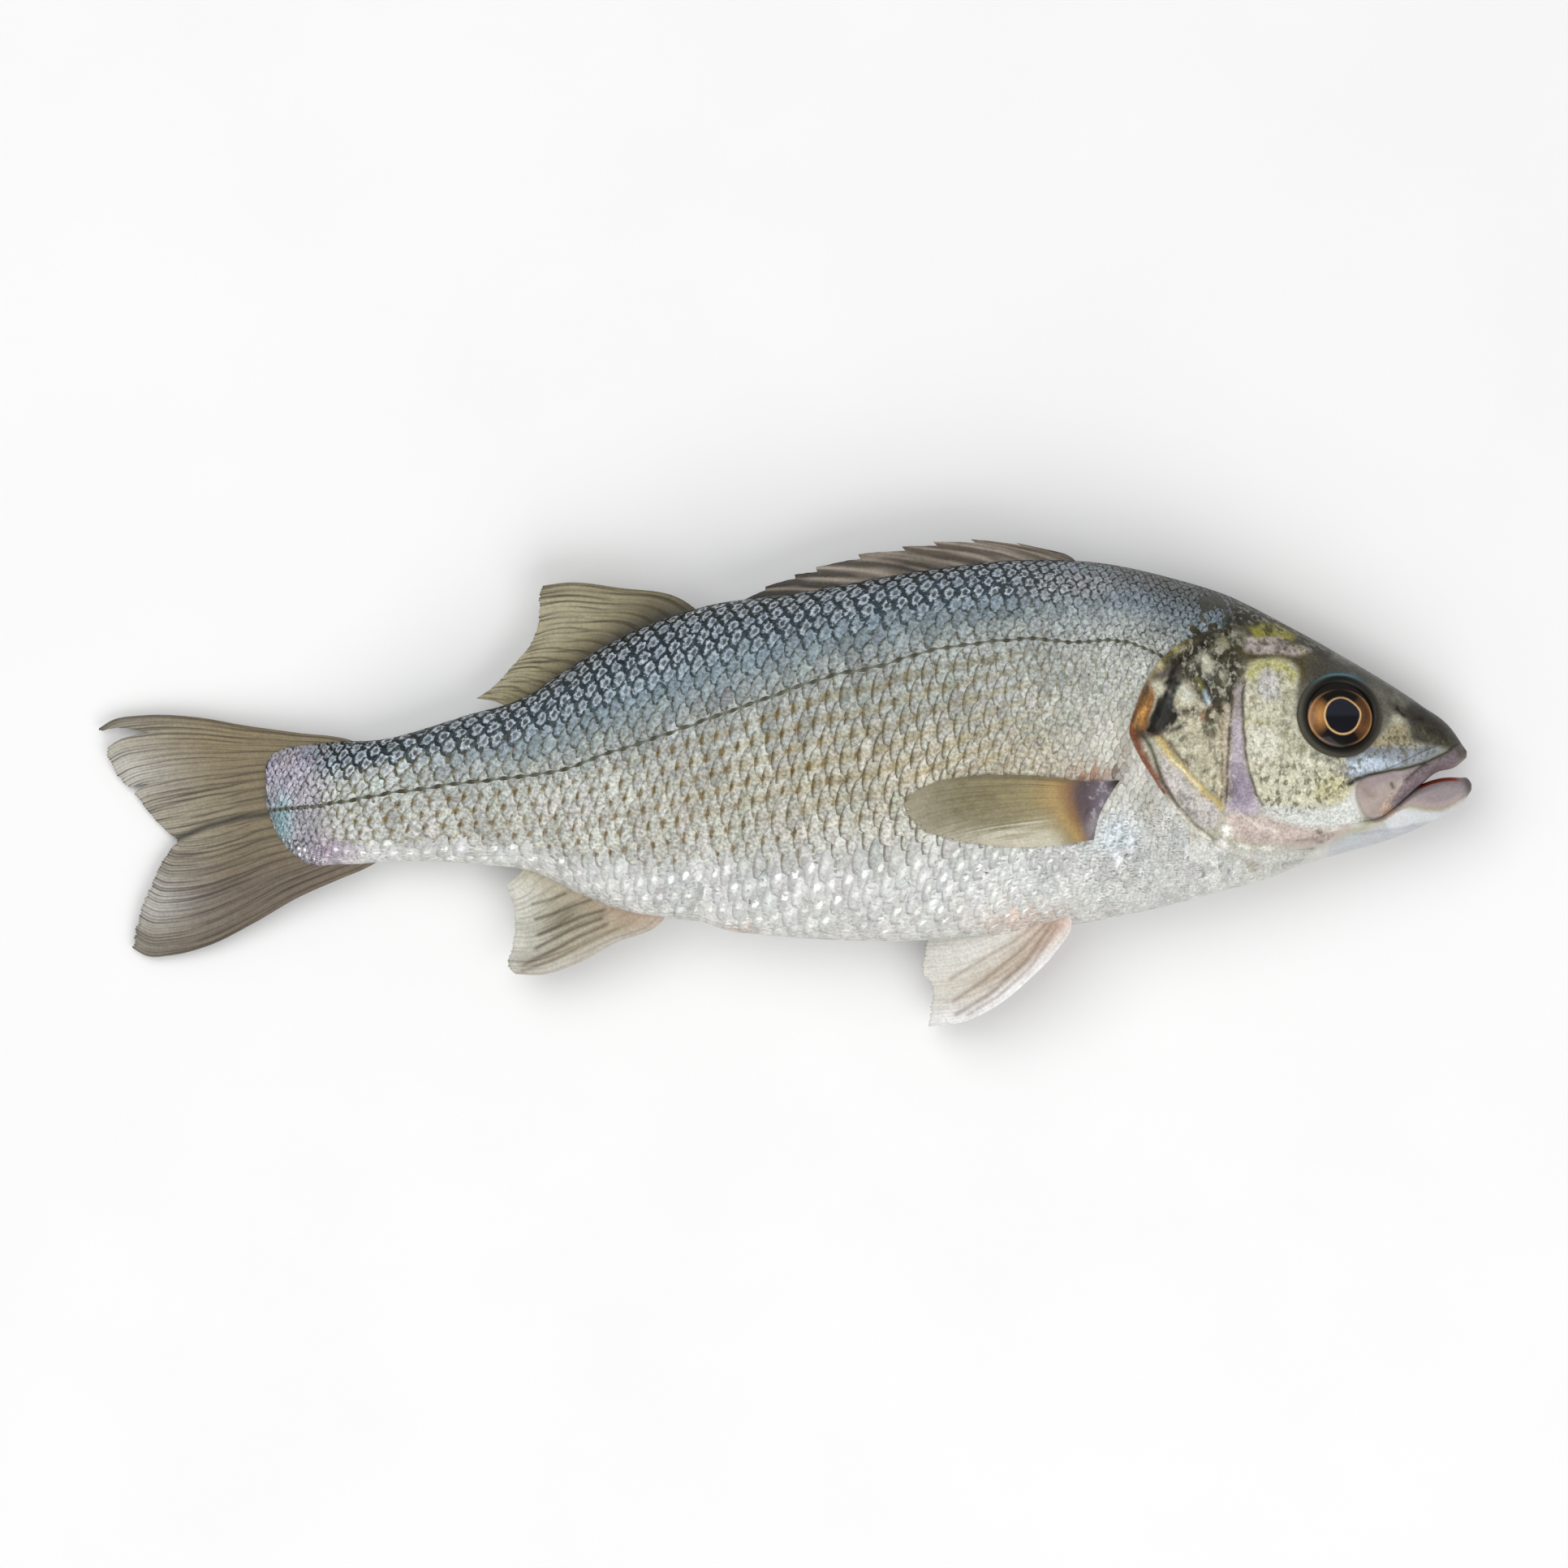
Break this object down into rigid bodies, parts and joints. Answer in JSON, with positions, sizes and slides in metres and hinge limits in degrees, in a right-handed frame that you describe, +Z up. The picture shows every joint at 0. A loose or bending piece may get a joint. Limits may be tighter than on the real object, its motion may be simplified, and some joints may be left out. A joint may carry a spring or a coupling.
{
  "type": "whole raw fish",
  "caption": "Whole raw silver sea fish lying on its left flank, with a scaly body, folded spiny back fin, soft fins, forked tail, gill covers and a slightly open mouth.",
  "frame": {"origin": "middle of the bottom face of the fish's box, on the surface that it lies on", "axes": "+X towards the head, +Y towards the back, +Z up, out of the right flank"},
  "size_m": [0.2999, 0.1062, 0.0404],
  "materials": {
    "skin": "wet scaly skin, steel blue to dark olive on the back, silver flank, white belly",
    "fins": "thin rayed membrane, olive brown to cream, slightly see-through at the edges",
    "eyes": "clear and glossy, bronze iris round a dark pupil"
  },
  "bodies": {
    "root": {"fish": "skin"}
  },
  "joints": []
}
